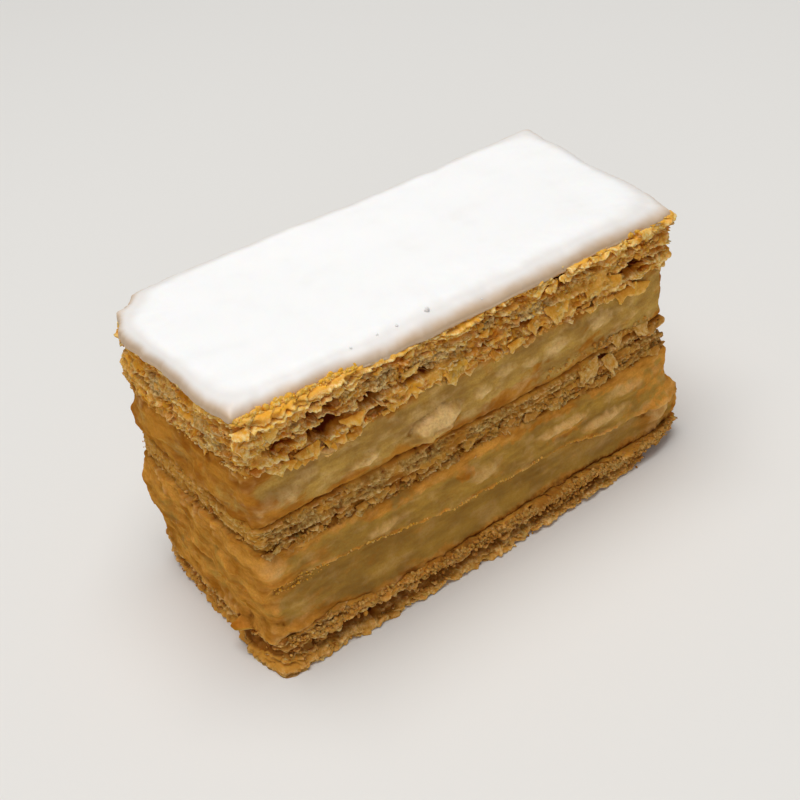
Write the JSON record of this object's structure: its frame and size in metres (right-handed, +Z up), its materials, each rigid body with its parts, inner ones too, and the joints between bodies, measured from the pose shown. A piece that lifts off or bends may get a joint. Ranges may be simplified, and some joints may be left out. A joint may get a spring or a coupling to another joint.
{
  "type": "mille feuille slice",
  "caption": "Bar-shaped slice of layered cream pastry: flaky puff pastry sheets with thick custard between them and a smooth white fondant icing lid.",
  "frame": {"origin": "middle of the flat underside, on the surface that the slice stands on", "axes": "+X along the length, +Y across the width from the front cut face to the back one, +Z up towards the icing"},
  "size_m": [0.1108, 0.0543, 0.0624],
  "materials": {
    "bottom_pastry": "matt flaky baked puff pastry, golden brown with dark leaf edges",
    "lower_custard": "moist set custard, satin with wet glints on the cut side",
    "middle_pastry": "matt porous puff pastry crumb, pale with brown edges",
    "upper_custard": "moist set custard, satin with wet glints on the cut side",
    "top_pastry": "matt flaky baked puff pastry, golden with pale and brown flakes",
    "icing": "smooth satin white fondant icing, translucent at its lower edge"
  },
  "bodies": {
    "root": {"bottom_pastry": "bottom_pastry", "lower_custard": "lower_custard", "middle_pastry": "middle_pastry", "upper_custard": "upper_custard", "top_pastry": "top_pastry", "icing": "icing"}
  },
  "joints": []
}
